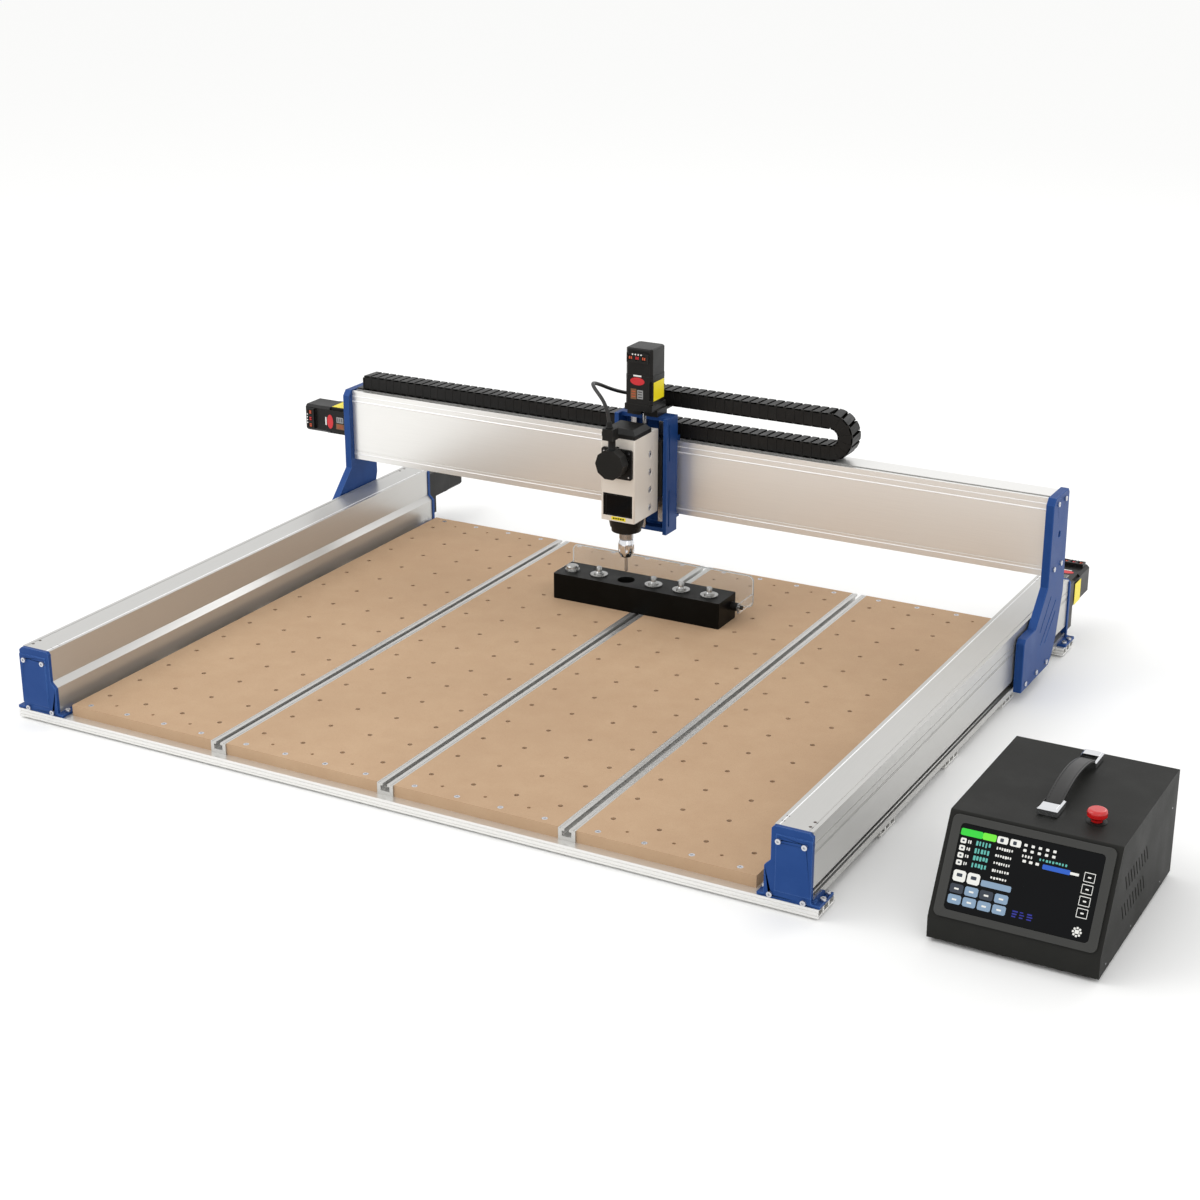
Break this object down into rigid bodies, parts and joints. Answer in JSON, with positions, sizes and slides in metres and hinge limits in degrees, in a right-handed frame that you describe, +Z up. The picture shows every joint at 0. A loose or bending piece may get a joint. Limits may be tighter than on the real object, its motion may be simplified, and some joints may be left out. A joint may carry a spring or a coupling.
{
  "type": "cnc router",
  "caption": "Gantry router with a hole-grid table, enclosed side rails, spindle head, tool rack with a clear cover, and a separate touch screen console.",
  "frame": {"origin": "on the bench, at the middle of the rubber foot under the middle of the machine's base", "axes": "+X to the operator's right, +Y to the back, +Z up"},
  "size_m": [2.02, 1.3345, 0.533],
  "materials": {
    "anodised_aluminium": "satin anodised extrusion with fine drawn lines",
    "blue_paint": "satin blue coat with brighter machined edges",
    "fibreboard": "raw pressed fibreboard, fine fibres and darker edges",
    "bright_steel": "ground steel",
    "button_screws": "bright plated button-head screws",
    "zinc_screws": "zinc plated screws",
    "motor_black": "matt black coat with bare laminations",
    "black_metal": "black anodised",
    "black_plastic": "fine moulded grain",
    "chain_plastic": "moulded links, slightly glossy edges",
    "spindle_silver": "warm white satin coat",
    "screen_glass": "dark glossy cover glass",
    "touch_screen": "glossy cover glass over a lit panel",
    "rubber": "matt rubber",
    "lead_jacket": "soft black jacket",
    "cutter_steel": "ground carbide",
    "clear_plastic": "clear polished acrylic",
    "console_charcoal": "fine textured charcoal coat",
    "bright_chrome": "polished",
    "red_plastic": "glossy red",
    "setter_silver": "turned and polished"
  },
  "bodies": {
    "base": {"base_beams": "anodised_aluminium", "foot_pads": "rubber", "spoilboards": "fibreboard", "board_screws": "zinc_screws", "t_tracks": "anodised_aluminium", "y_guides": "bright_steel", "y_bearings": "black_metal", "y_rails": "anodised_aluminium", "end_brackets": "blue_paint", "bracket_bolts": "button_screws", "y_motors": "motor_black", "tool_rack": "black_plastic", "tool_holders": "bright_steel", "tool_setter": "setter_silver", "cover_pins": "black_metal"},
    "gantry": {"side_plates": "blue_paint", "side_plate_bolts": "button_screws", "saddles": "black_metal", "y_blocks": "bright_steel", "gantry_beam": "anodised_aluminium", "gantry_cover": "anodised_aluminium", "x_guides": "bright_steel", "x_motor": "motor_black", "chain_anchor": "black_metal", "chain_lower": "chain_plastic"},
    "chain_turn": {"chain_bend": "chain_plastic"},
    "carriage": {"x_carriage": "blue_paint", "x_blocks": "bright_steel", "z_housing": "blue_paint", "z_guides": "bright_steel", "z_motor_mount": "black_metal", "z_motor": "motor_black", "chain_bracket": "black_metal", "chain_upper": "chain_plastic"},
    "spindle": {"z_plate": "black_metal", "z_blocks": "bright_steel", "spindle_body": "spindle_silver", "spindle_cap": "black_plastic", "plug_base": "black_plastic", "power_plug": "black_plastic", "nose_ring": "black_metal", "spindle_window": "screen_glass", "spindle_lead": "lead_jacket"},
    "shaft": {"spindle_shaft": "bright_steel", "collet_nut": "bright_steel", "end_mill": "cutter_steel"},
    "left_screw": {"left_y_screw": "bright_steel"},
    "right_screw": {"right_y_screw": "bright_steel"},
    "cross_screw": {"x_screw": "bright_steel"},
    "lift_screw": {"z_screw": "bright_steel"},
    "cover": {"rack_cover": "clear_plastic"},
    "console": {"console_shell": "console_charcoal", "console_base": "console_charcoal", "console_bezel": "black_plastic", "console_screen": "touch_screen", "console_feet": "rubber", "console_ports": "black_plastic", "strap": "black_plastic", "strap_ends": "bright_chrome"},
    "stop": {"stop_button": "red_plastic"}
  },
  "joints": [
    {"name": "gantry_travel", "type": "slide", "parent": "base", "child": "gantry", "axis": [0, 1, 0], "range_m": [-0.83, 0.06]},
    {"name": "carriage_travel", "type": "slide", "parent": "gantry", "child": "carriage", "axis": [1, 0, 0], "range_m": [-0.58, 0.66], "deforming": ["chain_lower", "chain_upper"]},
    {"name": "spindle_lift", "type": "slide", "parent": "carriage", "child": "spindle", "axis": [0, 0, 1], "range_m": [-0.068, 0.03], "deforming": ["spindle_lead"]},
    {"name": "shaft_spin", "type": "hinge", "parent": "spindle", "child": "shaft", "pos_m": [-0.041, 0.305, 0.2], "axis": [0, 0, 1], "continuous": true},
    {"name": "chain_travel", "type": "slide", "parent": "gantry", "child": "chain_turn", "axis": [1, 0, 0], "range_m": [-0.3, 0.34]},
    {"name": "left_screw_turn", "type": "hinge", "parent": "base", "child": "left_screw", "pos_m": [-0.708, 0, 0.092], "axis": [0, 1, 0], "range_deg": [-29881, 2161]},
    {"name": "right_screw_turn", "type": "hinge", "parent": "base", "child": "right_screw", "pos_m": [0.708, 0, 0.092], "axis": [0, 1, 0], "range_deg": [-29881, 2161]},
    {"name": "cross_screw_turn", "type": "hinge", "parent": "gantry", "child": "cross_screw", "pos_m": [0, 0.445, 0.2718], "axis": [1, 0, 0], "range_deg": [-20881, 23761]},
    {"name": "lift_screw_turn", "type": "hinge", "parent": "carriage", "child": "lift_screw", "pos_m": [-0.041, 0.3785, 0.3], "axis": [0, 0, 1], "range_deg": [-4897, 2161]},
    {"name": "cover_swing", "type": "hinge", "parent": "base", "child": "cover", "pos_m": [0, 0.33, 0.066], "axis": [1, 0, 0], "range_deg": [0, 58]},
    {"name": "console_lift", "type": "slide", "parent": "base", "child": "console", "axis": [0, 0, 1], "range_m": [0, 0.25]},
    {"name": "stop_press", "type": "slide", "parent": "console", "child": "stop", "axis": [0, 0, -1], "range_m": [0, 0.004], "stiffness_N_per_m": 800}
  ],
  "couplings": [
    {"joint": "left_screw_turn", "follows": "gantry_travel", "rad_per_m": 628.32},
    {"joint": "right_screw_turn", "follows": "gantry_travel", "rad_per_m": 628.32},
    {"joint": "cross_screw_turn", "follows": "carriage_travel", "rad_per_m": 628.32},
    {"joint": "lift_screw_turn", "follows": "spindle_lift", "rad_per_m": 1256.6},
    {"joint": "chain_travel", "follows": "carriage_travel", "ratio": 0.5}
  ]
}
